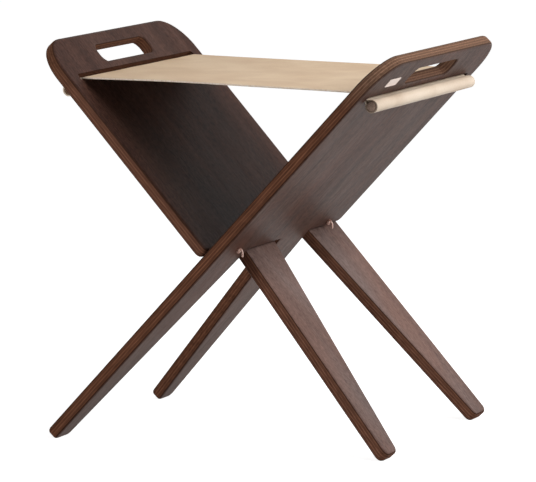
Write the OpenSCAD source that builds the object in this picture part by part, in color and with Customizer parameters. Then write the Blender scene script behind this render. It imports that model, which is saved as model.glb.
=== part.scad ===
// Folding magazine rack: two interlocking plywood boards cross like an X,
// a leather sling hangs between their tops on two dowels, and two knotted
// laces tie the boards together at the crossing.
// X runs across the fold, Y along the crossing line, Z up. The origin is on
// the floor, under the middle of the rack.

/* [Boards] */
// Width of each board, along the crossing line
board_w = 370; // [330:1:420]
// Thickness of the plywood
board_t = 15.5; // [12:0.5:18]
// Length of a board from the crossing up to its top edge
upper_len = 340; // [325:1:380]
// Length of the legs from the crossing down to the cut feet
leg_len = 316; // [280:1:350]
// Lean of each board away from upright
tilt = 42.6; // [36:0.1:44]
// Radius of the two top corners
top_corner_r = 50; // [40:1:90]
// Radius of the corners at the feet and beside the edge notch
small_corner_r = 9; // [6:0.5:12]
// Round-over along every edge of a board
edge_r = 4.5; // [3:0.5:5]

/* [Legs] */
// Width of the outer leg at the crossing
outer_leg_w = 90; // [80:1:98]
// Width of the outer leg at its foot
outer_foot_w = 39; // [32:1:50]
// Width of the inner leg at its foot
inner_foot_w = 36; // [30:1:48]
// Gap between a leg and the next leg of the other board, all the way down
leg_gap = 3; // [3:0.5:6]
// Gap between the two inner legs at the crossing
centre_gap = 6.5; // [6.5:0.5:12]
// Clearance between the head of a notch and the leg that passes through it
notch_clearance = 0.35; // [0.3:0.05:1]
// Depth of the flat worn on the lowest edge of each foot
foot_flat = 0.4; // [0.2:0.1:0.8]

/* [Handle hole] */
// Width of the handle hole at its narrowest
hole_w = 134; // [100:1:150]
// Height of the handle hole at its narrowest
hole_h = 23; // [22:1:26]
// Height of the handle hole's centre above the crossing, along the board
hole_v = 307.5; // [306:0.5:309]
// Corner radius of the handle hole
hole_corner_r = 9; // [5:0.5:11]
// Round-over of the handle hole's rim
hole_edge_r = 5; // [2:0.5:6]

/* [Sling] */
// Width of the leather sling
sling_w = 312; // [280:1:318]
// Thickness of the leather
leather_t = 2.2; // [1.6:0.1:2.4]
// Sag in the middle of the sling
sling_sag = 2.5; // [0:0.5:8]
// Height of the slot's centre above the crossing, along the board
slot_v = 280.2; // [278:0.2:281]
// Height of the slot
slot_h = 8.4; // [7:0.2:9]
// Clearance under and beside the leather in the slot
slot_clearance = 0.3; // [0.2:0.05:0.6]
// Distance from a board's outer face to the middle of the sleeve
sleeve_out = 10.5; // [10:0.5:14]
// Drop of the sleeve's middle below the slot's centre
sleeve_drop = 1.2; // [0:0.1:2]

/* [Dowels] */
// Diameter of a dowel
dowel_d = 11; // [9:0.5:11.5]
// Length of a dowel
dowel_len = 306; // [270:1:312]
// Play between a dowel and its sleeve
dowel_clearance = 0.3; // [0.2:0.05:0.6]

/* [Laces] */
// Diameter of the leather lace
lace_d = 2.8; // [2:0.1:3.2]
// Play between a lace and its bore
lace_clearance = 0.4; // [0.2:0.05:0.6]
// Distance of a lace from the nearer end of the crossing
lace_in = 50; // [40:1:60]
// Height of the lace bores above the crossing, along the board
lace_v = 18; // [17:0.5:22]
// Diameter of a knot
knot_d = 8; // [6:0.5:10]
// Length of the tail that hangs from a knot
tail_len = 8; // [5:0.5:12]

/* [Plate] */
// Width of the blank plate
plate_w = 33; // [25:1:40]
// Height of the blank plate
plate_h = 12.5; // [8:0.5:16]
// Thickness of the blank plate
plate_t = 0.8; // [0.5:0.1:1.5]
// Corner radius of the blank plate
plate_r = 1.5; // [0.5:0.5:3]
// Distance of the plate's middle from the board's near edge
plate_in = 66; // [55:1:75]
// Height of the plate's middle above the crossing, along the board
plate_v = 306; // [300:1:310]

/* [Hidden] */

// Boards. The pivot is the line at the bottom of the V, where the inner
// faces meet, and the notches end just above it.
half_t = board_t / 2;
pivot_v = half_t / tan(tilt);
notch_v = pivot_v + notch_clearance;
lower_run = (leg_len - edge_r) * cos(tilt) + (half_t - edge_r) * sin(tilt);
crossing_z = lower_run + edge_r - foot_flat;
half_w = board_w / 2;

// Edges of the legs: the outer leg's inner edge and the inner leg's outer
// edge are parallel, so that the boards pass each other as they fold.
outer_slope = (outer_leg_w - outer_foot_w) / leg_len;
inner_near_foot = board_w - outer_foot_w - leg_gap - inner_foot_w;
inner_slope = (inner_near_foot - half_w - centre_gap / 2) / leg_len;
function outer_leg_edge(v) = outer_leg_w + outer_slope * v - half_w;
function inner_leg_edge(v) = centre_gap / 2 - inner_slope * v;
function notch_edge(v) = -outer_leg_edge(v) - leg_gap;

// Each corner of a board is [across, up, corner radius], counter-clockwise.
board_corners = [
  [-half_w, -leg_len, small_corner_r],
  [outer_leg_edge(-leg_len), -leg_len, small_corner_r],
  [outer_leg_edge(notch_v), notch_v, 0],
  [inner_leg_edge(notch_v), notch_v, 0],
  [inner_leg_edge(-leg_len), -leg_len, small_corner_r],
  [notch_edge(-leg_len), -leg_len, small_corner_r],
  [notch_edge(notch_v), notch_v, 0],
  [half_w, notch_v, small_corner_r],
  [half_w, upper_len, top_corner_r],
  [-half_w, upper_len, top_corner_r]
];
hole_corners = [
  for (c = [[-1, -1], [1, -1], [1, 1], [-1, 1]])
    [c.x * hole_w / 2, hole_v + c.y * hole_h / 2, hole_corner_r]
];

// Slot, sleeve and dowel
slot_w = sling_w + slot_h - 2 * slot_clearance;
slot_floor = slot_v - slot_h / 2 + slot_clearance;
neck_v = slot_floor + leather_t;
sleeve_v = slot_v - sleeve_drop;
sleeve_n = half_t + sleeve_out;
sleeve_in_r = dowel_d / 2 + dowel_clearance;
sleeve_r = sleeve_in_r + leather_t;
dowel_shift = (sling_w - dowel_len) / 2;

// The sling's panel leaves the slot at the board's inner face, on its lower
// lip.
panel_v = slot_floor + leather_t / 2 / cos(tilt);
panel_x = panel_v * sin(tilt) - half_t * cos(tilt);
panel_z = crossing_z + panel_v * cos(tilt) + half_t * sin(tilt);
panel_steps = 24;

// Laces
lace_r = lace_d / 2;
bore_r = lace_r + lace_clearance;
lace_y = half_w - lace_in;
face_gap = 0.05;

walnut = [0.3, 0.22, 0.19];
leather = [0.87, 0.77, 0.64];
lace_leather = [0.72, 0.5, 0.42];
steel = [0.78, 0.76, 0.73];
step = 22.5;
$fn = 48;

// Points of a closed outline whose corners are [x, y, radius], all moved
// inward by inset.
function unit(p) = p / norm(p);
function left_of(p) = [-p.y, p.x];
function corner_points(before, here, after, inset) =
  let (
    u = unit([here.x - before.x, here.y - before.y]),
    w = unit([after.x - here.x, after.y - here.y]),
    turn = atan2(u.x * w.y - u.y * w.x, u * w),
    point = [here.x, here.y] + inset * (left_of(u) + left_of(w)) / (1 + u * w),
    r = max(here.z - inset, 0.01),
    centre = point - r * tan(turn / 2) * u + r * left_of(u),
    steps = ceil(here.z / 12) + 2
  )
  here.z == 0 ? [point] : [
    for (k = [0 : steps])
      let (a = turn * k / steps)
      centre - r * (cos(a) * left_of(u) - sin(a) * u)
  ];
function outline(corners, inset) = [
  for (i = [0 : len(corners) - 1])
    each corner_points(
      corners[(i + len(corners) - 1) % len(corners)],
      corners[i],
      corners[(i + 1) % len(corners)],
      inset
    )
];

// A solid through rings of points, all with the same count.
module ring_solid(rings) {
  count = len(rings[0]);
  last = len(rings) - 1;
  sides = [
    for (j = [0 : last - 1], i = [0 : count - 1])
      let (k = (i + 1) % count)
      [j * count + i, (j + 1) * count + i, (j + 1) * count + k, j * count + k]
  ];
  bottom = [for (i = [0 : count - 1]) i];
  top = [for (i = [count - 1 : -1 : 0]) last * count + i];
  polyhedron([for (ring = rings) each ring], concat([bottom], sides, [top]), 4);
}

// One ring across the board: x is the distance from the board's mid-plane.
function board_ring(corners, n, inset) = [for (p = outline(corners, inset)) [n, p.x, p.y]];

// Round kernel that gives the round-over: its poles and sides reach edge_r.
module edge_ball() {
  rotate([0, 90, 0]) rotate_extrude($fn = 16)
    polygon([for (a = [-90 : step : 90]) edge_r * [cos(a), sin(a)]]);
}

// Board in its own place: x through the thickness with the outer face at
// +half_t, y across, z up the board from the crossing.
module board_blank() {
  minkowski() {
    rotate([90, 0, 90]) linear_extrude(board_t - 2 * edge_r, center = true)
      polygon(outline(board_corners, edge_r));
    edge_ball();
  }
}

module handle_hole() {
  flat = half_t - hole_edge_r;
  past = half_t + 1;
  ring_solid([
    board_ring(hole_corners, -past, -hole_edge_r),
    for (side = [-1, 1], a = [0 : step : 90])
      let (b = side < 0 ? 90 - a : a)
      board_ring(hole_corners, side * (flat + hole_edge_r * sin(b)), hole_edge_r * (cos(b) - 1)),
    board_ring(hole_corners, past, -hole_edge_r)
  ]);
}

module sling_slot() {
  end_y = (slot_w - slot_h) / 2;
  translate([-board_t, -end_y, slot_v - slot_h / 2]) cube([2 * board_t, 2 * end_y, slot_h]);
  for (side = [-1, 1])
    translate([-board_t, side * end_y, slot_v]) rotate([0, 90, 0]) cylinder(h = 2 * board_t, d = slot_h);
}

module lace_bores() {
  for (side = [-1, 1])
    translate([-board_t, side * lace_y, lace_v]) rotate([0, 90, 0]) cylinder(h = 2 * board_t, r = bore_r);
}

// Stands a board, or what is fixed to it, in its place on the right.
module lean() {
  translate([0, 0, crossing_z]) rotate([0, tilt, 0]) children();
}

module half_turn() {
  rotate([0, 0, 180]) children();
}

module board() {
  color(walnut)
  difference() {
    lean() difference() {
      board_blank();
      handle_hole();
      sling_slot();
      lace_bores();
    }
    translate([-leg_len, -board_w, -board_t]) cube([2 * leg_len, 2 * board_w, board_t]);
  }
}

module board_right() {
  board();
}

module board_left() {
  half_turn() board();
}

// Section of the sling's panel, from one board's inner face to the other's.
function sag_z(x) = panel_z - sling_sag * (1 - pow(x / panel_x, 2));
panel_top = [
  for (i = [0 : panel_steps])
    let (x = panel_x * (2 * i / panel_steps - 1))
    [x, sag_z(x) + leather_t / 2]
];
panel_bottom = [for (i = [panel_steps : -1 : 0]) [panel_top[i].x, panel_top[i].y - leather_t]];

// Section through a slot in the board's own place: one layer rests on the
// slot's lower face, and the sleeve's end is glued back on it inside the slot.
neck_corners = [
  [-half_t - leather_t / 2, neck_v - leather_t],
  [sleeve_n, neck_v - leather_t],
  [sleeve_n, neck_v + leather_t],
  [-half_t / 2, neck_v + leather_t],
  [-half_t / 2, neck_v],
  [-half_t - leather_t / 2, neck_v]
];

module sling_end() {
  lean() rotate([90, 0, 0]) linear_extrude(sling_w, center = true) difference() {
    union() {
      polygon(neck_corners);
      translate([sleeve_n, sleeve_v]) circle(r = sleeve_r);
    }
    translate([sleeve_n, sleeve_v]) circle(r = sleeve_in_r);
  }
}

module sling() {
  color(leather)
  union() {
    rotate([90, 0, 0]) linear_extrude(sling_w, center = true) polygon(concat(panel_top, panel_bottom));
    sling_end();
    half_turn() sling_end();
  }
}

module dowel() {
  color(walnut)
  lean() translate([sleeve_n, -dowel_shift, sleeve_v])
    rotate([90, 0, 0]) cylinder(h = dowel_len, d = dowel_d, center = true);
}

module dowel_right() {
  dowel();
}

module dowel_left() {
  half_turn() dowel();
}

// Half a lace in the XZ plane, from the middle of the V: through the bore to
// the knot on the outer face, then down the tail. Each place is [x, z, radius].
function lean_place(n, v, r) = [
  v * sin(tilt) + n * cos(tilt),
  crossing_z + v * cos(tilt) - n * sin(tilt),
  r
];
function right_lace() = let (
    knot_base = half_t + face_gap,
    knot_r = knot_d / 2,
    end = lean_place(knot_base + 0.9 * knot_d, lace_v, lace_r)
  )
  [
    lean_place(-half_t, lace_v, lace_r),
    lean_place(knot_base, lace_v, lace_r),
    lean_place(knot_base, lace_v, 0.7 * knot_r),
    lean_place(knot_base + 0.2 * knot_d, lace_v, knot_r),
    lean_place(knot_base + 0.5 * knot_d, lace_v, knot_r),
    lean_place(knot_base + 0.7 * knot_d, lace_v, 0.7 * knot_r),
    end,
    end + [lace_r, -2 * lace_r, 0],
    end + [lace_r, -2 * lace_r - tail_len, 0]
  ];
lace_places = concat(
  [for (i = [len(right_lace()) - 1 : -1 : 0]) let (p = right_lace()[i]) [-p.x, p.y, p.z]],
  right_lace()
);

function lace_ring(i) =
  let (
    here = lace_places[i],
    ahead = lace_places[min(i + 1, len(lace_places) - 1)],
    behind = lace_places[max(i - 1, 0)],
    side = here.z * left_of(unit([ahead.x - behind.x, ahead.y - behind.y]))
  )
  [
    for (a = [0 : 45 : 315])
      [here.x + cos(a) * side.x, -here.z * sin(a), here.y + cos(a) * side.y]
  ];

module lace() {
  color(lace_leather) ring_solid([for (i = [0 : len(lace_places) - 1]) lace_ring(i)]);
}

module lace_front() {
  translate([0, -lace_y, 0]) lace();
}

module lace_back() {
  translate([0, lace_y, 0]) lace();
}

module blank_plate() {
  span_y = plate_w - 2 * plate_r;
  span_v = plate_h - 2 * plate_r;
  color(steel)
  lean() translate([half_t, plate_in - half_w, plate_v]) rotate([0, 90, 0]) {
    translate([-plate_h / 2, -span_y / 2, 0]) cube([plate_h, span_y, plate_t]);
    translate([-span_v / 2, -plate_w / 2, 0]) cube([span_v, plate_w, plate_t]);
    for (a = [-1, 1], b = [-1, 1])
      translate([a * span_v / 2, b * span_y / 2, 0]) cylinder(h = plate_t, r = plate_r);
  }
}

board_right();
board_left();
sling();
dowel_right();
dowel_left();
lace_front();
lace_back();
blank_plate();
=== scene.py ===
# Magazine rack: two dark walnut ply boards that cross and interlock, a leather sling on dowels
# between their tops, two knotted laces through the crossing and one small blank plate.
import math
import bmesh
import bpy
import numpy as np
from mathutils import Matrix, Vector


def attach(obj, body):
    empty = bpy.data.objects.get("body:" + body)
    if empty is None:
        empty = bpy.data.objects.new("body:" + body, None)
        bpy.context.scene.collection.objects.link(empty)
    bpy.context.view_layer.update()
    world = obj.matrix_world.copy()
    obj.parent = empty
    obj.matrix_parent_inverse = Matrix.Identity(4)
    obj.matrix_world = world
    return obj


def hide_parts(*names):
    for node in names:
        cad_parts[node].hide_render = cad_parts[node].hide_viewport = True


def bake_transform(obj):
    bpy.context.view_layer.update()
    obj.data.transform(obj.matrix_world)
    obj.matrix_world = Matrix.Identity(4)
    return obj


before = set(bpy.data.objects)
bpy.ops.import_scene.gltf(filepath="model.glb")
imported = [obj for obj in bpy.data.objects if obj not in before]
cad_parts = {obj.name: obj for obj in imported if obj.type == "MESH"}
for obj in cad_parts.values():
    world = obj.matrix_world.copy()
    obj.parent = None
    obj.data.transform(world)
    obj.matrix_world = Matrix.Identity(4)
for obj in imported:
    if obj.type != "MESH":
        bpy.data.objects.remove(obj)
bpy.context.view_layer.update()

print("frame loaded:", sorted(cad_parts))


# Camera, from the front and a little above, turned to the right

view = {
    "turn": 24.555,            # degrees round from straight in front
    "above": 8.371,            # degrees above level
    "roll": 0.2135,            # degrees
    "target": (0, 0, 0.2390),
    "distance": 5.0198,
    "lens": 271.26,            # mm, for a sensor this wide
    "sensor": 36,
    "shift": (-0.00487, -0.00543),
    "clipEnd": 50,
}


def placeCamera():
    # It looks at the target from its distance, turned round and raised, and rolls about its own line.
    turn, above, roll = (math.radians(view[key]) for key in ("turn", "above", "roll"))
    back = Vector((math.sin(turn) * math.cos(above), -math.cos(turn) * math.cos(above), math.sin(above)))
    right = Vector((0, 0, 1)).cross(back).normalized()
    up = back.cross(right)
    leanRight = right * math.cos(roll) + up * math.sin(roll)
    leanUp = up * math.cos(roll) - right * math.sin(roll)
    camera = bpy.data.objects.new("camera", bpy.data.cameras.new("camera"))
    camera.matrix_world = Matrix.Translation(Vector(view["target"]) + back * view["distance"]) @ Matrix(
        (leanRight, leanUp, back)).transposed().to_4x4()
    camera.data.sensor_width = view["sensor"]
    camera.data.lens = view["lens"]
    camera.data.shift_x, camera.data.shift_y = view["shift"]
    camera.data.clip_end = view["clipEnd"]
    bpy.context.scene.collection.objects.link(camera)
    bpy.context.scene.camera = camera


placeCamera()
print("camera placed")


# The two boards' shape, in metres, as in the part's source

board = {
    "width": 0.370, "thick": 0.0155, "upper": 0.340, "legs": 0.316, "tilt": math.radians(42.6),
    "topRadius": 0.050, "smallRadius": 0.009, "edgeRound": 0.0045,
    "outerLeg": 0.090, "outerFoot": 0.039, "innerFoot": 0.036,
    "legGap": 0.003, "centreGap": 0.0065, "notchClearance": 0.00035, "footFlat": 0.0004,
    "holeWidth": 0.134, "holeHeight": 0.023, "holeUp": 0.3075, "holeRadius": 0.009, "holeRound": 0.005,
    "slotUp": 0.2802, "slotHeight": 0.0084, "slotWidth": 0.3198, "slotRound": 0.0006,
    "boreAcross": 0.135, "boreUp": 0.018, "boreRadius": 0.0018, "boreRound": 0.0003,
}
meshing = {
    "merge": 1e-7,             # points closer than this are one point
    "leastRadius": 1e-5,       # of a corner that its inset would swallow
    "denseRadius": 0.03,       # a corner of this radius gets twice the steps
    "holdShare": 0.3,          # most of a straight side that the points beside a corner may take
}
sinTilt, cosTilt = math.sin(board["tilt"]), math.cos(board["tilt"])
halfThick = board["thick"] / 2
halfWidth = board["width"] / 2
notchUp = halfThick / math.tan(board["tilt"]) + board["notchClearance"]
crossing = ((board["legs"] - board["edgeRound"]) * cosTilt + (halfThick - board["edgeRound"]) * sinTilt
            + board["edgeRound"] - board["footFlat"])


def toRack(out, across, up, turned=False):
    # From a board's own place to the rack: x = up sin(tilt) + out cos(tilt), y = across and
    # z = crossing + up cos(tilt) - out sin(tilt). Half a turn about Z then gives the left board.
    side = -1 if turned else 1
    x = side * (up * sinTilt + out * cosTilt)
    z = crossing + up * cosTilt - out * sinTilt
    return np.stack(np.broadcast_arrays(x, side * across, z), -1)


def roundedOutline(corners, inset=0.0, steps=8, hold=0.0008):
    # Closed anticlockwise outline whose sides all stand inset inside the given ones. A corner is
    # (across, up, radius): an arc of radius - inset touches both of its sides, centre - r (left cos a
    # - along sin a) for a from 0 to the turn, and one point a little before and after it holds the side.
    corners = np.array(corners, float)
    here = corners[:, :2]
    along = here - np.roll(here, 1, 0)
    along /= np.linalg.norm(along, axis=1, keepdims=True)
    onward = np.roll(along, -1, 0)
    left = np.stack([-along[:, 1], along[:, 0]], 1)
    leftOn = np.roll(left, -1, 0)
    dot = (along * onward).sum(1)
    turn = np.arctan2(along[:, 0] * onward[:, 1] - along[:, 1] * onward[:, 0], dot)
    point = here + inset * (left + leftOn) / (1 + dot)[:, None]
    radius = np.where(corners[:, 2] > 0, np.maximum(corners[:, 2] - inset, meshing["leastRadius"]), 0)
    reach = radius * np.abs(np.tan(turn / 2))
    straight = np.linalg.norm(np.roll(point, -1, 0) - point, axis=1) - reach - np.roll(reach, -1)
    after = np.clip(straight * meshing["holdShare"], 0, hold)
    before = np.roll(after, 1)
    parts = []
    for i, r in enumerate(radius):
        if r == 0:
            parts.append(point[i:i + 1])
            continue
        count = max(3, round(steps * (1 + corners[i, 2] / meshing["denseRadius"])))
        a = np.linspace(0, turn[i], count)[:, None]
        centre = point[i] - reach[i] * along[i] + r * left[i]
        arc = centre - r * (np.cos(a) * left[i] - np.sin(a) * along[i])
        parts += [arc[:1] - before[i] * along[i], arc, arc[-1:] + after[i] * onward[i]]
    return np.concatenate(parts)


def box4(width, height, up, radius, across=0.0):
    # The four corners of a rounded rectangle, anticlockwise.
    return [(across + a * width / 2, up + b * height / 2, radius)
            for a, b in ((-1, -1), (1, -1), (1, 1), (-1, 1))]


def joinRings(rings):
    # Quads between neighbouring rings of points, face (j, i) from points i and i + 1 of rings j, j + 1.
    rows, count = rings.shape[:2]
    j, i = np.meshgrid(np.arange(rows - 1), np.arange(count), indexing="ij")
    a, b = j * count + i, j * count + (i + 1) % count
    return np.stack([a, b, b + count, a + count], -1).reshape(-1, 4)


def edgeProfile(roundover, hold=0.0004, steps=7):
    # Section of a board's edge as (out, inset) pairs from the inner face to the outer one: a quarter
    # circle of the round-over at each side of a straight wall, with a row just past each change.
    a = np.linspace(math.pi / 2, 0, steps)
    wall = halfThick - roundover
    out = np.concatenate([[halfThick], wall + roundover * np.sin(a), [wall - hold]])
    inset = np.concatenate([[roundover + hold], roundover * (1 - np.cos(a)), [0]])
    return np.stack([np.concatenate([-out, out[::-1]]), np.concatenate([inset, inset[::-1]])], 1)


def ringMesh(name, points, caps=False):
    # A mesh of closed rings of points, with one face over each end where caps is set.
    rows, count = points.shape[:2]
    faces = joinRings(points).tolist()
    if caps:
        faces += [list(range(count))[::-1], list(range((rows - 1) * count, rows * count))]
    mesh = bpy.data.meshes.new(name)
    mesh.from_pydata(points.reshape(-1, 3).tolist(), [], faces)
    return mesh


def addCutMap(mesh, along, across):
    # A map in metres: each ring's length along the piece, and each of its points' length across it.
    which = np.empty(len(mesh.loops), int)
    mesh.loops.foreach_get("vertex_index", which)
    uv = np.stack([along[which // len(across)], across[which % len(across)]], 1)
    mesh.uv_layers.new(name="cut").data.foreach_set("uv", uv.ravel())


def closeMesh(mesh, merge=True, flatSides=False):
    # Merges doubled points, closes what is left open on both flat sides of a board, and turns every
    # face outwards.
    work = bmesh.new()
    work.from_mesh(mesh)
    if merge:
        bmesh.ops.remove_doubles(work, verts=work.verts, dist=meshing["merge"])
    if flatSides:
        for side in (-1, 1):
            rim = [edge for edge in work.edges if edge.is_boundary and edge.verts[0].co.x * side > 0]
            bmesh.ops.triangle_fill(work, use_beauty=True, edges=rim, normal=(side, 0, 0))
    bmesh.ops.recalc_face_normals(work, faces=work.faces)
    work.to_mesh(mesh)
    work.free()


def finishMesh(mesh, sharp=35):
    # Smooth shading, with a crease where faces meet at more than this many degrees.
    mesh.polygons.foreach_set("use_smooth", np.ones(len(mesh.polygons), bool))
    mesh.set_sharp_from_angle(angle=math.radians(sharp))
    mesh.update()


def addPiece(name, mesh, material):
    # A piece stands at the origin, and its place is in its mesh.
    piece = bpy.data.objects.new(name, mesh)
    mesh.materials.append(material)
    bpy.context.scene.collection.objects.link(piece)
    return piece


def boardCorners():
    # The board's outline: a wide leg that narrows to its foot, a narrow one beside the middle, and a
    # notch that the other board's wide leg passes through.
    outerSlope = (board["outerLeg"] - board["outerFoot"]) / board["legs"]
    nearFoot = board["width"] - board["outerFoot"] - board["legGap"] - board["innerFoot"]
    innerSlope = (nearFoot - halfWidth - board["centreGap"] / 2) / board["legs"]

    def outerLegEdge(up):
        return board["outerLeg"] + outerSlope * up - halfWidth

    def innerLegEdge(up):
        return board["centreGap"] / 2 - innerSlope * up

    def notchEdge(up):
        return -outerLegEdge(up) - board["legGap"]

    foot, small, big = -board["legs"], board["smallRadius"], board["topRadius"]
    return [
        (-halfWidth, foot, small), (outerLegEdge(foot), foot, small),
        (outerLegEdge(notchUp), notchUp, 0), (innerLegEdge(notchUp), notchUp, 0),
        (innerLegEdge(foot), foot, small), (notchEdge(foot), foot, small),
        (notchEdge(notchUp), notchUp, 0), (halfWidth, notchUp, small),
        (halfWidth, board["upper"], big), (-halfWidth, board["upper"], big),
    ]


def boardMesh(name, turned):
    # Outline, handle hole, slot and bores are each a stack of rings through the thickness. The two
    # flat faces close what is left between them.
    hole = box4(board["holeWidth"], board["holeHeight"], board["holeUp"], board["holeRadius"])
    slot = box4(board["slotWidth"], board["slotHeight"], board["slotUp"], board["slotHeight"] / 2)
    shapes = [                                  # corners, round-over, and 1 outside or -1 for an opening
        (boardCorners(), board["edgeRound"], 1),
        (hole, board["holeRound"], -1),
        (slot, board["slotRound"], -1),
    ]
    size = 2 * board["boreRadius"]
    for across in (-board["boreAcross"], board["boreAcross"]):
        bore = box4(size, size, board["boreUp"], board["boreRadius"], across)
        shapes.append((bore, board["boreRound"], -1))
    points, faces, count = [], [], 0
    for outlineCorners, roundover, side in shapes:
        profile = edgeProfile(roundover)
        rings = np.stack([np.insert(roundedOutline(outlineCorners, side * inset), 0, out, axis=1)
                          for out, inset in profile])
        points.append(rings.reshape(-1, 3))
        faces.append(joinRings(rings) + count)
        count += len(points[-1])
    mesh = bpy.data.meshes.new(name)
    mesh.from_pydata(np.concatenate(points).tolist(), [], np.concatenate(faces).tolist())
    closeMesh(mesh, flatSides=True)
    place = np.empty(3 * len(mesh.vertices))
    mesh.vertices.foreach_get("co", place)
    place = place.reshape(-1, 3)
    place = toRack(place[:, 0], place[:, 1], place[:, 2], turned)
    place[:, 2] = np.maximum(place[:, 2], 0)           # the foot's worn flat
    mesh.vertices.foreach_set("co", place.ravel())
    finishMesh(mesh)
    return mesh


# Materials

def colour(red, green, blue):
    # A screen colour from 0 to 255 as a shader's linear one.
    c = np.array([red, green, blue]) / 255
    return (*np.where(c <= 0.04045, c / 12.92, ((c + 0.055) / 1.055) ** 2.4).tolist(), 1)


def node(tree, kind, sockets=None, **settings):
    # One shader node. A socket's value is either a number or another node's output.
    made = tree.nodes.new("ShaderNode" + kind)
    for key, value in settings.items():
        setattr(made, key, value)
    for key, value in (sockets or {}).items():
        if isinstance(value, bpy.types.NodeSocket):
            tree.links.new(value, made.inputs[key])
        else:
            made.inputs[key].default_value = value
    return made


def maths(tree, operation, *values):
    # One step of arithmetic on numbers or other nodes' outputs.
    return node(tree, "Math", dict(enumerate(values)), operation=operation).outputs[0]


def weighted(tree, *pairs):
    # The sum of values, each times its weight.
    parts = [maths(tree, "MULTIPLY", value, weight) for value, weight in pairs]
    total = parts[0]
    for part in parts[1:]:
        total = maths(tree, "ADD", total, part)
    return total


def ranged(tree, value, low, high, toLow=0.0, toHigh=1.0):
    # Takes low..high to toLow..toHigh in a straight line, and holds both ends.
    return node(tree, "MapRange", {
        "Value": value, "From Min": low, "From Max": high, "To Min": toLow, "To Max": toHigh}).outputs[0]


def ramp(tree, factor, stops):
    # A stop is a position and either a colour or one number for all three of its parts.
    made = node(tree, "ValToRGB", {"Fac": factor})
    elements = made.color_ramp.elements
    while len(elements) < len(stops):
        elements.new(0.5)
    for element, (position, value) in zip(elements, stops):
        element.position = position
        element.color = value if isinstance(value, tuple) else (value, value, value, 1)
    return made.outputs["Color"]


def shaded(tree, tone, span, first, second):
    # The first colour up to the span's start, the second from its end on, and a blend between.
    return ramp(tree, tone, [(span[0], first), (span[1], second)])


def mix(tree, factor, first, second, blend="MIX"):
    # From the first colour to the second. Inputs 6 and 7 are the two that take colours.
    sockets = {0: factor, 6: first, 7: second}
    return node(tree, "Mix", sockets, data_type="RGBA", blend_type=blend).outputs[2]


def tinted(tree, value, tint):
    # A colour with each of its three parts scaled.
    return node(tree, "VectorMath", {0: value, 1: tint}, operation="MULTIPLY").outputs[0]


def noise(tree, place, stretch, scale, detail, distortion=0.0):
    # Noise on a place that is first scaled along each of its axes: under 1 draws the pattern out.
    spread = node(tree, "Mapping", {"Vector": place, "Scale": stretch}).outputs[0]
    sockets = {"Vector": spread, "Scale": scale, "Detail": detail, "Distortion": distortion}
    return node(tree, "TexNoise", sockets).outputs["Fac"]


def newMaterial(name, roughness, specular=0.5):
    # A material with its node tree and its shader, set to a roughness and a specular level.
    material = bpy.data.materials.new(name)
    material.use_nodes = True
    tree = material.node_tree
    shader = tree.nodes["Principled BSDF"]
    shader.inputs["Roughness"].default_value = roughness
    shader.inputs["Specular IOR Level"].default_value = specular
    return material, tree, shader


def bump(tree, shader, height, strength, distance):
    # Relief that a height from 0 to 1 gives, its depth in metres.
    made = node(tree, "Bump", {"Height": height, "Strength": strength, "Distance": distance})
    tree.links.new(made.outputs[0], shader.inputs["Normal"])


walnut = {
    "roughness": 0.5, "specular": 0.05,
    "faceDark": colour(55, 38, 32), "faceLight": colour(91, 67, 58), "pore": colour(40, 27, 22),
    "coreLight": colour(126, 82, 59), "coreDark": colour(100, 64, 46), "glue": colour(66, 42, 31),
    "blush": (1.0, 0.74, 0.62, 1),              # tint of the redder patches
    # How each board's painted light and shade differs on its face, its legs, its edges and the edges at
    # its top, for how each board and part is lit
    "Right": {
        "shift": (0.0, 0.11, 0.0),              # of the pattern, so that the boards aren't alike
        "face": (1.0, 1.0, 1.0), "legs": (1.6, 1.65, 1.65),
        "edge": (0.9, 0.9, 0.94), "top": (1.22, 1.65, 2.0),
    },
    "Left": {
        "shift": (0.4, 0.37, 0.8),
        "face": (0.92, 0.84, 0.82), "legs": (2.75, 3.5, 4.1),
        "edge": (1.0, 1.08, 1.25), "top": (0.9, 0.95, 1.0),
    },
    "veneer": 0.0008, "veneerBlend": 0.0003,
    "plies": 9,
    "glueLine": (0.002, 0.016, 0.094),          # glue, then wood from here to here, in thicknesses
    "wander": 0.02,                             # how far the layers wander, in thicknesses
    # Each pattern's scale along its axes, size, detail and distortion
    "figure": ((1, 1, 0.16), 26, 4, 0.5), "streak": ((1, 1, 0.09), 300, 3),
    "fleck": ((1, 1, 0.42), 380, 4, 0.65), "fine": ((1, 1, 0.25), 900, 3),
    "patches": ((1, 1, 0.3), 13, 2), "waver": ((0.2, 1, 1), 40, 2), "endGrain": ((1, 1, 0.12), 420, 4),
    "figureShare": 0.38, "streakShare": 0.08, "fleckShare": 0.54,
    "toneSpan": (0.39, 0.61),                   # the tones that give the dark and the light stain
    "blushStops": [(0.42, 0.0), (0.66, 0.7)],
    "poreStops": [(0.30, 1.0), (0.42, 0.0)], "poreShare": 0.55, "poreDepth": 0.5,
    "endStops": [(0.3, 0.25), (0.7, 0.78)], "endShare": 0.55,
    "satinStops": [(0.3, 0.56), (0.7, 0.46)],   # roughness by streak
    "calm": 0.45,                               # how much weaker the pattern is on the legs
    "litLegsUp": (0.04, -0.31),                    # the legs' painted light comes in from here down to here,
    "litLegStops": [(0.0, 0.0), (0.3, 1.0), (0.6, 1.0), (1.0, 0.7)],        # by this much on the way
    "topHighlightUp": (0.26, 0.31),                      # and the top edges' painted highlight from here up to here
    "rim": 0.27,                                # how much of the edge's colour is left beside the faces, a painted shade on the round-overs
    "rimShadeFrom": (0.48, 0.93),                    # where it fades, in shares of half the thickness
    "edgeRough": 0.3,                           # how much rougher the edges are
    "bump": (0.25, 0.0002),                     # strength and depth of the grain's relief
}


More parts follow.
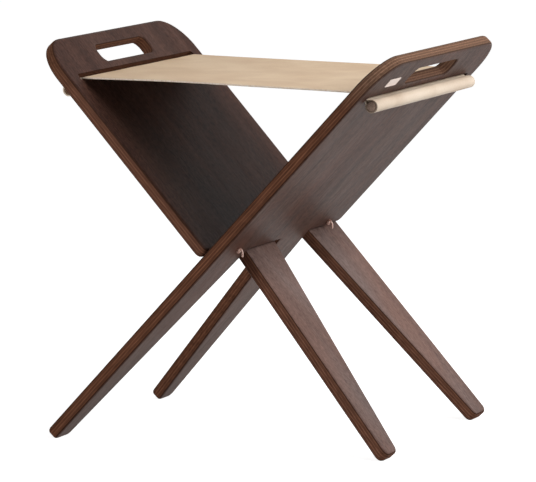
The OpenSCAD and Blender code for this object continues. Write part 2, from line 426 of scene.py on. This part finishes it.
def boardPlace(tree, turned):
    # The point's place on its board: x through the thickness, y across, z along the grain.
    sockets = {
        "Vector": node(tree, "TexCoord").outputs["Object"], "Location": (0, 0, crossing),
        "Rotation": (0, board["tilt"], math.pi if turned else 0),
    }
    return node(tree, "Mapping", sockets, vector_type="TEXTURE").outputs[0]


def moved(tree, place, shift):
    # A place with a distance in metres added along each axis.
    return node(tree, "Mapping", {"Vector": place, "Location": shift}).outputs[0]


def plyLayers(tree, place, depth):
    # The ply's layers by their depth: slightly wavy, end grain over them, and darker beside the faces, a
    # painted shade on the round-overs.
    layer = maths(tree, "ADD", maths(tree, "DIVIDE", depth, board["thick"]), 0.5)
    waver = maths(tree, "SUBTRACT", noise(tree, place, *walnut["waver"]), 0.5)
    layer = maths(tree, "ADD", layer, maths(tree, "MULTIPLY", waver, walnut["wander"]))
    stops = []
    glueEnd, woodStart, woodEnd = walnut["glueLine"]
    for ply in range(walnut["plies"]):
        start = ply / walnut["plies"]
        tint = walnut["coreLight"] if ply % 2 else walnut["coreDark"]
        stops += [(start + glueEnd, walnut["glue"]), (start + woodStart, tint), (start + woodEnd, tint)]
    core = ramp(tree, layer, stops)
    ends = ramp(tree, noise(tree, place, *walnut["endGrain"]), walnut["endStops"])
    core = mix(tree, walnut["endShare"], core, ends, "OVERLAY")
    low, high = walnut["rimShadeFrom"]
    distance = maths(tree, "ABSOLUTE", depth)
    rim = ranged(tree, distance, halfThick * low, halfThick * high, 1.0, walnut["rim"])
    return node(tree, "VectorMath", {0: core, "Scale": rim}, operation="SCALE").outputs[0]


def walnutPly(side, turned):
    # Stained veneer on both faces, and the layers of the ply where the edges cut through them.
    material, tree, shader = newMaterial("walnut" + side, walnut["roughness"], walnut["specular"])
    # Besides the pattern's shift, these tints are painted light and shade: the left face darker, the legs
    # lighter, the top edges paler.
    shiftAndPaintedLight = walnut[side]
    own = boardPlace(tree, turned)
    place = moved(tree, own, shiftAndPaintedLight["shift"])
    spot = node(tree, "SeparateXYZ", {"Vector": own}).outputs
    depth, up = spot[0], spot[2]
    streak = noise(tree, place, *walnut["streak"])
    tone = weighted(tree, (noise(tree, place, *walnut["figure"]), walnut["figureShare"]),
                    (streak, walnut["streakShare"]),
                    (noise(tree, place, *walnut["fleck"]), walnut["fleckShare"]))
    # The legs are painted lighter from their top down, a little less at the feet: a painted light for how
    # the legs are lit.
    down = ranged(tree, up, *walnut["litLegsUp"])
    litLegs = ramp(tree, down, walnut["litLegStops"])
    contrast = maths(tree, "SUBTRACT", 1.0, maths(tree, "MULTIPLY", litLegs, walnut["calm"]))
    tone = maths(tree, "ADD", maths(tree, "MULTIPLY", maths(tree, "SUBTRACT", tone, 0.5), contrast), 0.5)
    face = shaded(tree, tone, walnut["toneSpan"], walnut["faceDark"], walnut["faceLight"])
    blush = ramp(tree, noise(tree, place, *walnut["patches"]), walnut["blushStops"])
    face = mix(tree, blush, face, walnut["blush"], "MULTIPLY")
    pores = ramp(tree, noise(tree, place, *walnut["fine"]), walnut["poreStops"])
    face = mix(tree, maths(tree, "MULTIPLY", pores, walnut["poreShare"]), face, walnut["pore"])
    # The legs' tint is painted light, and the left board's darker face tint is painted shade.
    face = mix(tree, litLegs, tinted(tree, face, shiftAndPaintedLight["face"]), tinted(tree, face, shiftAndPaintedLight["legs"]))
    core = plyLayers(tree, place, depth)
    # The top edges and the rim of the handle hole are tinted paler and greyer: a painted highlight. Each
    # board's own edge tint is painted light and shade as well.
    topHighlight = ranged(tree, up, *walnut["topHighlightUp"])
    core = mix(tree, topHighlight, tinted(tree, core, shiftAndPaintedLight["edge"]), tinted(tree, core, shiftAndPaintedLight["top"]))
    veneerUnder = halfThick - walnut["veneer"]
    distance = maths(tree, "ABSOLUTE", depth)
    skin = ranged(tree, distance, veneerUnder - walnut["veneerBlend"], veneerUnder)
    tree.links.new(mix(tree, skin, core, face), shader.inputs["Base Color"])
    satin = ramp(tree, streak, walnut["satinStops"])
    raw = maths(tree, "MULTIPLY", maths(tree, "SUBTRACT", 1.0, skin), walnut["edgeRough"])
    tree.links.new(maths(tree, "ADD", satin, raw), shader.inputs["Roughness"])
    relief = maths(tree, "SUBTRACT", streak, maths(tree, "MULTIPLY", pores, walnut["poreDepth"]))
    bump(tree, shader, relief, *walnut["bump"])
    return material


for side, turned in (("Right", False), ("Left", True)):
    piece = addPiece("board" + side, boardMesh("board" + side, turned), walnutPly(side, turned))
    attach(piece, side.lower() + "_half")
    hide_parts("board_" + side.lower())
print("boards made")


# Lines that leather follows

def lengthAlong(line):
    # The length from a line's first point to each of its points.
    return np.concatenate([[0], np.cumsum(np.linalg.norm(np.diff(line, axis=0), axis=1))])


def pointsAt(line, length, at):
    # The points at these lengths along a line, straight between the ones it has.
    return np.stack([np.interp(at, length, column) for column in line.T], 1)


def easedLine(line, count, window, trim=0):
    # Corners eased: count even steps along the line, then the mean of window points round each step.
    # Both of its ends stay, and trim more points beside each are left out.
    length = lengthAlong(line)
    dense = pointsAt(line, length, np.linspace(0, length[-1], count))
    share = np.ones(window) / window
    eased = np.stack([np.convolve(column, share, "valid") for column in dense.T], 1)
    return np.concatenate([dense[:1], eased[trim:len(eased) - trim], dense[-1:]])


# Sling

sling = {
    "width": 0.312, "thick": 0.0020, "edgeRound": 0.0007,
    "sag": 0.0006,
    "lift": 0.0020, "liftLean": 0.3,            # rise of the near edge, and how much it leans to the left
    "sleeveOut": halfThick + 0.0091, "sleeveUp": 0.279,   # middle of a sleeve, in its board's place
    "sleeveInner": 0.0059,
    "slotClear": 0.0003,                        # gap between the lower layer and the slot's floor
    "lip": 0.0002, "mouth": 0.0007,             # its bends, past the inner face and past the outer one
    "upperLayer": 1.53,                         # height of the returned layer, in thicknesses
    "foldBack": -0.00375,                       # where the returned layer ends inside the slot
    "short": 0.001,                             # how far before the slot the panel's curve stops
    "spacing": 0.0001, "window": 25,            # steps along the middle line, and how many ease it
    "panelSteps": 500, "ringSteps": 160, "columns": 61, "panelRows": 40, "endRows": 130, "sharp": 50,
    "rowGap": (0.006, 0.005),                   # before the slot: end of wide rows, start of close ones
    # Each wave: radians for a metre across and along, and where it starts
    "waves": ((31, 9, 1), (-11, 17, 0), (58, -23, 2)), "thirdShare": 0.6,
    "lie": 0.0003,                              # how far the panel strays from flat
    "ripple": 0.0001, "rippleWave": (70, 3),    # how far the sleeves do
    "stray": 0.0003, "strayWave": (35, 2),      # and how far the cut edges do
    "strayFrom": 0.49,                          # from this share of the width
    "top": colour(233, 205, 171), "patch": colour(217, 185, 150), "cut": colour(240, 228, 212),
    "flesh": colour(205, 172, 142),
    "paintedSleeve": (0.91, 1.01, 1.19), "shadedCut": (0.32, 0.27, 0.24),         # painted light on the sleeves round the dowels, and painted shade on the right sleeve's cut edge
    "paintedSleeveFrom": (0.012, 0.022),                 # where the tints come in, past the panel's end
    "cutEdge": (0.0009, 0.0004),                # where the pale cut comes in, before the edge
    "roughness": 0.6, "specular": 0.35,
    "clouds": ((1, 1, 1), 14, 4, 0.4), "specks": ((1, 1, 1), 420, 2), "fibre": ((1, 1, 1), 1800, 3),
    "cloudShare": 0.75, "speckShare": 0.25, "hideSpan": (0.38, 0.62), "fibreSpan": (0.35, 0.55),
    "pebbles": 900.0, "pebbleShare": 0.6,
    "bump": (0.12, 0.0003),
}
slotFloor = board["slotUp"] - board["slotHeight"] / 2 + sling["slotClear"]
panelUp = slotFloor + sling["thick"] / 2 / cosTilt
panelEnd = toRack(-halfThick, 0.0, panelUp)


def slingPath():
    # Middle line of the leather from the centre of the panel to its end, as (x, z): a parabola that
    # sags between the boards, the lower layer on the slot's floor, a tangent to the sleeve's circle,
    # round it, and back through the slot on top of the lower layer. Corners are eased by averaging.
    reach = panelEnd[0]
    x = np.linspace(0, reach - sling["short"], sling["panelSteps"])
    panel = np.stack([x, panelEnd[2] - sling["sag"] * (1 - (x / reach) ** 2)], 1)
    ring = sling["sleeveInner"] + sling["thick"] / 2
    lower = slotFloor + sling["thick"] * 0.5
    upper = slotFloor + sling["thick"] * sling["upperLayer"]
    mouth = halfThick + sling["mouth"]

    def touch(up, way):
        # Angle on the sleeve's circle at which the line from the slot's mouth touches it.
        to = np.array([mouth - sling["sleeveOut"], up - sling["sleeveUp"]])
        return math.atan2(to[1], to[0]) % (2 * math.pi) + way * math.acos(ring / np.hypot(*to))

    a = np.linspace(touch(lower, 1), touch(upper, -1) + 2 * math.pi, sling["ringSteps"])
    circle = np.stack([sling["sleeveOut"] + ring * np.cos(a), sling["sleeveUp"] + ring * np.sin(a)], 1)
    key = np.concatenate([[[-halfThick + sling["lip"], lower], [mouth, lower]], circle,
                          [[mouth, upper], [sling["foldBack"], upper]]])
    end = toRack(key[:, 0], 0.0, key[:, 1])[:, [0, 2]]
    line = np.concatenate([panel, end])
    count = int(lengthAlong(line)[-1] / sling["spacing"])
    line = easedLine(line, count, sling["window"], sling["window"] // 2)
    length = lengthAlong(line)
    wide, close = sling["rowGap"]
    pick = np.concatenate([np.linspace(0, reach - wide, sling["panelRows"]),
                           np.linspace(reach - close, length[-1], sling["endRows"])])
    return pointsAt(line, length, pick), pick


def slingSection():
    # A thin rounded rectangle as (across, thickness), with more points along both of its long sides.
    thick = sling["thick"]
    section = roundedOutline(box4(sling["width"], thick, 0, sling["edgeRound"]), steps=4, hold=0.0004)
    across = np.linspace(-0.5, 0.5, sling["columns"])[1:-1] * sling["width"]
    flat = np.abs(np.abs(section[:, 1]) - thick / 2) < meshing["merge"]
    longSide = np.abs(np.roll(section[:, 0], -1) - section[:, 0]) > sling["width"] / 3
    jumps = np.flatnonzero(flat & np.roll(flat, -1) & longSide)
    low, high = jumps[section[jumps, 1] < 0][0], jumps[section[jumps, 1] > 0][0]
    lowRow = np.stack([across, np.full_like(across, -thick / 2)], 1)
    highRow = np.stack([across[::-1], np.full_like(across, thick / 2)], 1)
    places = [low + 1] * len(across) + [high + 1] * len(across)
    return np.insert(section, places, np.concatenate([lowRow, highRow]), axis=0)


def slingSheet():
    # The section carried along the middle line: point = line + thickness * the line's normal, with a
    # small wave, the product of two sines and a share of a third, that dies out at the slots. With
    # u = s / reach, the near edge lifts by lift * (1 - u^2) * (1 - lean u), growing with the square of y.
    half, along = slingPath()
    line = np.concatenate([(half * (-1, 1))[:0:-1], half])
    along = np.concatenate([-along[:0:-1], along])
    heading = np.gradient(line, along, axis=0)
    heading /= np.linalg.norm(heading, axis=1, keepdims=True)
    normal = np.stack([-heading[:, 1], heading[:, 0]], 1)
    section = slingSection()
    y, t = section[None, :, 0], section[None, :, 1]
    s = along[:, None]
    openShare = np.clip(1 - (s / panelEnd[0]) ** 2, 0, 1)
    nearShare = np.clip(-2 * y / sling["width"], 0, 1) ** 2
    first, second, third = (np.sin(a * y + b * s + start) for a, b, start in sling["waves"])
    wave = first * second + sling["thirdShare"] * third
    turns, start = sling["rippleWave"]
    ripple = sling["ripple"] * np.sin(turns * y + start)
    t = t + sling["lift"] * openShare * (1 - sling["liftLean"] * s / panelEnd[0]) * nearShare
    t = t + sling["lie"] * wave * openShare + ripple * (1 - openShare)
    turns, start = sling["strayWave"]
    atCut = np.abs(y) > sling["width"] * sling["strayFrom"]
    stray = sling["stray"] * np.sin(turns * s + start * np.sign(y)) * atCut
    points = np.stack([
        line[:, None, 0] + t * normal[:, None, 0],
        np.broadcast_to(y + stray, t.shape),
        line[:, None, 1] + t * normal[:, None, 1]], -1)
    return points, along, section[:, 0]


def slingLeather():
    # Smooth natural leather: faint clouds, a pebbled grain and pale fibres along the cut edges.
    material, tree, shader = newMaterial("slingLeather", sling["roughness"], sling["specular"])
    cut = node(tree, "UVMap", uv_map="cut").outputs[0]
    specks = noise(tree, cut, *sling["specks"])
    tone = weighted(tree, (noise(tree, cut, *sling["clouds"]), sling["cloudShare"]),
                    (specks, sling["speckShare"]))
    hide = shaded(tree, tone, sling["hideSpan"], sling["patch"], sling["top"])
    spot = node(tree, "SeparateXYZ", {"Vector": cut}).outputs
    # The sleeves round the dowels are tinted paler and whiter: a painted light for their lit outsides.
    bentStart, bentFull = sling["paintedSleeveFrom"]
    paintedSleeve = ranged(tree, maths(tree, "ABSOLUTE", spot[0]), panelEnd[0] + bentStart, panelEnd[0] + bentFull)
    hide = mix(tree, paintedSleeve, hide, tinted(tree, hide, sling["paintedSleeve"]))
    across = maths(tree, "ABSOLUTE", spot[1])
    cutStart, cutFull = sling["cutEdge"]
    edge = ranged(tree, across, sling["width"] / 2 - cutStart, sling["width"] / 2 - cutFull)
    fibre = noise(tree, cut, *sling["fibre"])
    fibres = shaded(tree, fibre, sling["fibreSpan"], sling["flesh"], sling["cut"])
    # The right sleeve's cut edge is darkened: a painted shade, as its end is turned away from the light.
    right = maths(tree, "MULTIPLY", paintedSleeve, maths(tree, "GREATER_THAN", spot[0], 0.0))
    fibres = mix(tree, right, fibres, tinted(tree, fibres, sling["shadedCut"]))
    tree.links.new(mix(tree, edge, hide, fibres), shader.inputs["Base Color"])
    pebble = node(tree, "TexVoronoi", {"Vector": cut, "Scale": sling["pebbles"]}).outputs["Distance"]
    height = maths(tree, "ADD", maths(tree, "MULTIPLY", pebble, sling["pebbleShare"]), specks)
    bump(tree, shader, height, *sling["bump"])
    return material


slingPoints, slingAlong, slingAcross = slingSheet()
slingMesh = ringMesh("slingLeather", slingPoints, caps=True)
addCutMap(slingMesh, slingAlong, slingAcross)
closeMesh(slingMesh, merge=False)
finishMesh(slingMesh, sling["sharp"])
slingPiece = addPiece("slingLeather", slingMesh, slingLeather())
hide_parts("sling")
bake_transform(slingPiece)


# Dowels

dowel = {
    "radius": 0.0058, "length": 0.306, "chamfer": 0.0004, "sides": 48, "sharp": 30,
    "set": -0.0033,                             # how far it is pushed along its sleeve
    "light": colour(122, 104, 94), "dark": colour(88, 70, 62),
    "end": colour(176, 148, 130), "ring": colour(100, 76, 64),
    "heart": (0.004, 0, 0.009),                 # how far the rings' centre lies from the dowel's own line
    "rings": 5200.0, "ringShare": 0.16,         # radians of growth ring in a metre, and their strength
    "roughness": 0.6, "specular": 0.3,
    "grain": ((1, 0.03, 1), 700, 3), "grainSpan": (0.35, 0.65),
    "pores": ((1, 1, 1), 1500, 2), "endSpan": (0.38, 0.6),
    "bump": (0.2, 0.0002),
}


def dowelMesh(name, turned):
    # A profile of radius against length, turned about the dowel's own line: rings on the flat end, a
    # chamfer and the side, and the same again at the other end.
    r, half, c = dowel["radius"], dowel["length"] / 2, dowel["chamfer"]
    flat = np.array([0, 0.35, 0.7, 1]) * (r - c)
    radius = np.concatenate([flat, [r, r, r], flat[::-1]])
    length = np.array([-half] * 4 + [-half + c, 0, half - c] + [half] * 4)
    a = np.linspace(0, 2 * math.pi, dowel["sides"] + 1)[:-1]
    out = sling["sleeveOut"] + radius[:, None] * np.cos(a)
    up = sling["sleeveUp"] + radius[:, None] * np.sin(a)
    across = (length + dowel["set"])[:, None]
    mesh = ringMesh(name, toRack(out, across, up, turned))
    closeMesh(mesh)
    finishMesh(mesh, dowel["sharp"])
    return mesh


def dowelWood(name, turned):
    # Straight grain along the dowel, and growth rings with open pores on its ends.
    material, tree, shader = newMaterial(name, dowel["roughness"], dowel["specular"])
    place = moved(tree, boardPlace(tree, turned), (-sling["sleeveOut"], 0, -sling["sleeveUp"]))
    grain = noise(tree, place, *dowel["grain"])
    side = shaded(tree, grain, dowel["grainSpan"], dowel["dark"], dowel["light"])
    around = node(tree, "Mapping", {"Vector": place, "Location": dowel["heart"], "Scale": (1, 0, 1)})
    far = node(tree, "VectorMath", {0: around.outputs[0]}, operation="LENGTH").outputs["Value"]
    rings = maths(tree, "SINE", maths(tree, "MULTIPLY", far, dowel["rings"]))
    pores = noise(tree, place, *dowel["pores"])
    endTone = maths(tree, "ADD", maths(tree, "MULTIPLY", rings, dowel["ringShare"]), pores)
    end = shaded(tree, endTone, dowel["endSpan"], dowel["ring"], dowel["end"])
    across = node(tree, "SeparateXYZ", {"Vector": place}).outputs[1]
    reach = maths(tree, "ABSOLUTE", maths(tree, "SUBTRACT", across, dowel["set"]))
    tip = maths(tree, "GREATER_THAN", reach, dowel["length"] / 2 - dowel["chamfer"] * 0.5)
    tree.links.new(mix(tree, tip, side, end), shader.inputs["Base Color"])
    bump(tree, shader, grain, *dowel["bump"])
    return material


for side, turned in (("Right", False), ("Left", True)):
    name = "dowel" + side
    piece = addPiece(name, dowelMesh(name, turned), dowelWood(name + "Wood", turned))
    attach(piece, side.lower() + "_half")
    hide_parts("dowel_" + side.lower())
print("dowels made")


# Laces

lace = {
    "radius": 0.0013, "sides": 14, "rings": 130, "sharp": 60,
    "clear": 0.00005,                           # how far past the board's face the bore's run ends
    "coil": 0.0021, "turns": 1.0,               # the knot's own radius and turns
    "near": 0.0015, "far": 0.0028,              # from here to here it climbs away from the board
    "widen": 6,                                 # it has its full radius after one part in this many
    "lean": 0.0016, "rise": 0.0068, "overshoot": 0.002,        # the tail's first and second pull
    "reach": 0.0056, "aside": 0.0004, "drop": 0.0052,          # and its tip, from the end of the coil
    "coilSteps": 90, "tailSteps": 60,
    "steps": 500, "window": 9,                  # even steps, and how many of them ease its corners
    "tip": 0.5,                                 # length that each tip takes to draw in, in radii
    "light": colour(250, 218, 203), "dark": colour(190, 130, 112),
    "roughness": 0.5, "specular": 0.4,
    "streak": ((0.15, 1, 1), 1500, 3), "crease": ((1, 0.3, 1), 700, 2),
    "streakShare": 0.6, "creaseShare": 0.4, "hideSpan": (0.38, 0.6),
    "bump": (0.3, 0.0002),
}


def laceEnd():
    # From the middle of the V to the tip of one tail, as (x, y, z) beside the lace's own middle plane:
    # through the bore, then a coil of radius coil * (cos a, sin a) that climbs away from the board, and a
    # tail on a cubic curve that rises, turns over and hangs straight down.
    gap = halfThick + lace["clear"]
    bore = toRack(np.array([-halfThick, gap]), 0.0, board["boreUp"])
    a = np.linspace(0, 1, lace["coilSteps"])
    turn = 2 * math.pi * lace["turns"] * a
    wide = lace["coil"] * np.minimum(1, a * lace["widen"])
    coil = toRack(gap + lace["near"] + (lace["far"] - lace["near"]) * a, -wide * np.sin(turn),
                  board["boreUp"] - wide * np.cos(turn))
    steps = np.array([
        [0, 0, 0],
        [-lace["lean"], 0, lace["rise"]],
        [lace["reach"] + lace["overshoot"], 0, lace["rise"]],
        [lace["reach"], -lace["aside"], -lace["drop"]]])
    t = np.linspace(0, 1, lace["tailSteps"])[1:, None]
    weights = np.concatenate([(1 - t) ** 3, 3 * t * (1 - t) ** 2, 3 * t ** 2 * (1 - t), t ** 3], 1)
    tail = coil[-1] + weights @ steps
    middle = np.array([[0, 0, bore[0, 2]]])
    line = easedLine(np.concatenate([middle, bore, coil, tail]), lace["steps"], lace["window"])
    length = lengthAlong(line)
    return pointsAt(line, length, np.linspace(0, length[-1], lace["rings"]))


def tubeAlong(line, radius, sides):
    # Rings of the given radii round a line, centre + radius * (cos a * first + sin a * second). Each
    # ring's pair of directions is the last one's, turned as little as the line allows.
    heading = np.gradient(line, axis=0)
    heading /= np.linalg.norm(heading, axis=1, keepdims=True)
    first = np.zeros_like(line)
    start = np.cross(heading[0], (0, 1, 0))
    for i, forward in enumerate(heading):
        start = start - forward * (start @ forward)
        start = start / np.linalg.norm(start)
        first[i] = start
    second = np.cross(heading, first)
    a = np.linspace(0, 2 * math.pi, sides + 1)[:-1, None]
    around = np.cos(a) * first[:, None] + np.sin(a) * second[:, None]
    return line[:, None] + radius[:, None, None] * around


def laceMesh(name, across):
    # One end and the same turned half round, and both tips drawn in to a point by a quarter circle.
    half = laceEnd()
    line = np.concatenate([(half * (-1, -1, 1))[:0:-1], half]) + (0, across, 0)
    along = lengthAlong(line)
    toEnd = np.minimum(along, along[-1] - along)
    drawnIn = np.clip(1 - toEnd / (lace["radius"] * lace["tip"]), 0, 1)
    radius = lace["radius"] * np.sqrt(1 - drawnIn ** 2)
    sides = lace["sides"]
    mesh = ringMesh(name, tubeAlong(line, radius, sides))
    addCutMap(mesh, along, np.arange(sides) / sides * 2 * math.pi * lace["radius"])
    closeMesh(mesh)
    finishMesh(mesh, lace["sharp"])
    return mesh, along[-1]


def laceLeather():
    # Soft leather thong: streaks along its length and a few darker creases.
    material, tree, shader = newMaterial("laceLeather", lace["roughness"], lace["specular"])
    cut = node(tree, "UVMap", uv_map="cut").outputs[0]
    streak = noise(tree, cut, *lace["streak"])
    crease = noise(tree, cut, *lace["crease"])
    tone = weighted(tree, (streak, lace["streakShare"]), (crease, lace["creaseShare"]))
    hide = shaded(tree, tone, lace["hideSpan"], lace["dark"], lace["light"])
    tree.links.new(hide, shader.inputs["Base Color"])
    bump(tree, shader, tone, *lace["bump"])
    return material


laceMaterial = laceLeather()
bridge = float(toRack(-halfThick, 0.0, board["boreUp"])[0])          # where a lace enters its board
for end, across in (("front", -board["boreAcross"]), ("back", board["boreAcross"])):
    mesh, laceLength = laceMesh("lace" + end.title(), across)
    piece = addPiece("lace" + end.title(), mesh, laceMaterial)
    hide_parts("lace_" + end)
    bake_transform(piece)
print("laces made, each", round(float(laceLength), 4), "long")


# Blank plate

plate = {
    "width": 0.033, "height": 0.0125, "thick": 0.0008, "radius": 0.0015,
    "fromEdge": 0.066, "up": 0.306,             # its middle, on the right board's outer face
    "sunk": 0.00005,                            # how far its back sits in the wood
    "border": 0.0009, "recess": 0.00015, "edgeRound": 0.0002, "hold": 0.0002, "sharp": 30,
    "metal": colour(206, 190, 181), "brushed": colour(150, 134, 126), "brushShare": 0.3,
    "roughness": 0.38, "metallic": 0.85,
    "lines": ((1, 0.02, 1), 2600, 3),
    "bump": (0.15, 0.0001),
}


def plateMesh():
    # Rings that climb the plate's side, round over its rim and step down into a shallow panel.
    r, border, recess, top = (plate[key] for key in ("edgeRound", "border", "recess", "thick"))
    a = np.linspace(0, math.pi / 2, 5)
    rise = np.concatenate([[-plate["sunk"]], top - r + r * np.sin(a), [top, top - recess, top - recess]])
    inset = np.concatenate([
        [0], r * (1 - np.cos(a)), [border, border + recess, border + recess + plate["hold"]]])
    across = plate["fromEdge"] - halfWidth
    shape = box4(plate["width"], plate["height"], plate["up"], plate["radius"], across)
    rings = np.stack([np.insert(roundedOutline(shape, i, steps=6, hold=0.0003), 0, halfThick + o, axis=1)
                      for o, i in zip(rise, inset)])
    mesh = ringMesh("blankPlate", toRack(rings[..., 0], rings[..., 1], rings[..., 2]), caps=True)
    closeMesh(mesh, merge=False)
    finishMesh(mesh, plate["sharp"])
    return mesh


def brushedMetal():
    # Pale metal with fine brush lines across the plate.
    material, tree, shader = newMaterial("plateMetal", plate["roughness"])
    lines = noise(tree, boardPlace(tree, False), *plate["lines"])
    brushed = maths(tree, "MULTIPLY", lines, plate["brushShare"])
    tree.links.new(mix(tree, brushed, plate["metal"], plate["brushed"]), shader.inputs["Base Color"])
    shader.inputs["Metallic"].default_value = plate["metallic"]
    bump(tree, shader, lines, *plate["bump"])
    return material


platePiece = addPiece("blankPlate", plateMesh(), brushedMetal())
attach(platePiece, "right_half")
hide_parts("blank_plate")
print("plate made")


# Floor, background and light

light = {
    "sky": 0.025, "floor": 0.68, "floorRough": 0.9,
    "floorSize": 8.0,                           # from the middle to a side
    "floorLift": (0.88, 1.0),                   # beside the feet, and from a good metre away
    "liftFrom": (0.5, 1.3),                     # the distances that go with them
    "target": (0, 0, 0.25),                     # what every lamp points at
    "lamps": {                                  # watts, size across, place
        "keyHigh": (13.5, 0.8, (1.15, -0.05, 1.10)),
        "rim": (6.8, 0.9, (0.75, 1.30, 0.55)),
        "top": (14.5, 1.5, (0.15, 0.75, 2.45)),
        "frontLeft": (23.0, 1.0, (-0.9, -2.2, 0.5)),
    },
}


def seen(tree):
    # One for a ray that comes from the camera, a gloss or a glass, nothing for the rest.
    path = node(tree, "LightPath")
    total = maths(tree, "ADD", path.outputs["Is Camera Ray"], path.outputs["Is Glossy Ray"])
    return maths(tree, "MINIMUM", maths(tree, "ADD", total, path.outputs["Is Transmission Ray"]), 1.0)


def whiteWorld():
    # White where it is seen, and a weak even light for everything else.
    world = bpy.data.worlds.new("studio")
    bpy.context.scene.world = world
    world.use_nodes = True
    tree = world.node_tree
    back = tree.nodes["Background"]
    back.inputs["Color"].default_value = (1, 1, 1, 1)
    strength = ranged(tree, seen(tree), 0.0, 1.0, light["sky"], 1.0)
    tree.links.new(strength, back.inputs["Strength"])


def whiteFloor():
    # A pale floor that lights the rack by bounce, and that is seen as white apart from its shadow.
    size = light["floorSize"]
    corners = [(a * size, b * size, 0) for a, b in ((-1, -1), (1, -1), (1, 1), (-1, 1))]
    mesh = bpy.data.meshes.new("floor")
    mesh.from_pydata(corners, [], [(0, 1, 2, 3)])
    material, tree, shader = newMaterial("paleFloor", light["floorRough"], 0.0)
    shader.inputs["Base Color"].default_value = (light["floor"], light["floor"], light["floor"], 1)
    shader.inputs["Emission Color"].default_value = (1, 1, 1, 1)
    place = node(tree, "TexCoord").outputs["Object"]
    away = node(tree, "VectorMath", {0: place}, operation="LENGTH").outputs["Value"]
    white = ranged(tree, away, *light["liftFrom"], *light["floorLift"])
    lift = maths(tree, "MULTIPLY", seen(tree), white)
    tree.links.new(lift, shader.inputs["Emission Strength"])
    floor = addPiece("floor", mesh, material)


def softLamp(name, power, size, place):
    # A square lamp that points at the rack and isn't seen itself.
    lamp = bpy.data.lights.new(name, "AREA")
    lamp.energy, lamp.size = power, size
    holder = bpy.data.objects.new(name, lamp)
    holder.location = place
    holder.visible_camera = False
    holder.rotation_euler = (Vector(place) - Vector(light["target"])).to_track_quat("Z", "Y").to_euler()
    bpy.context.scene.collection.objects.link(holder)


whiteWorld()
whiteFloor()
for name, (power, size, place) in light["lamps"].items():
    softLamp(name, power, size, place)
bpy.context.scene.view_settings.view_transform = "Standard"
print("light and floor made")
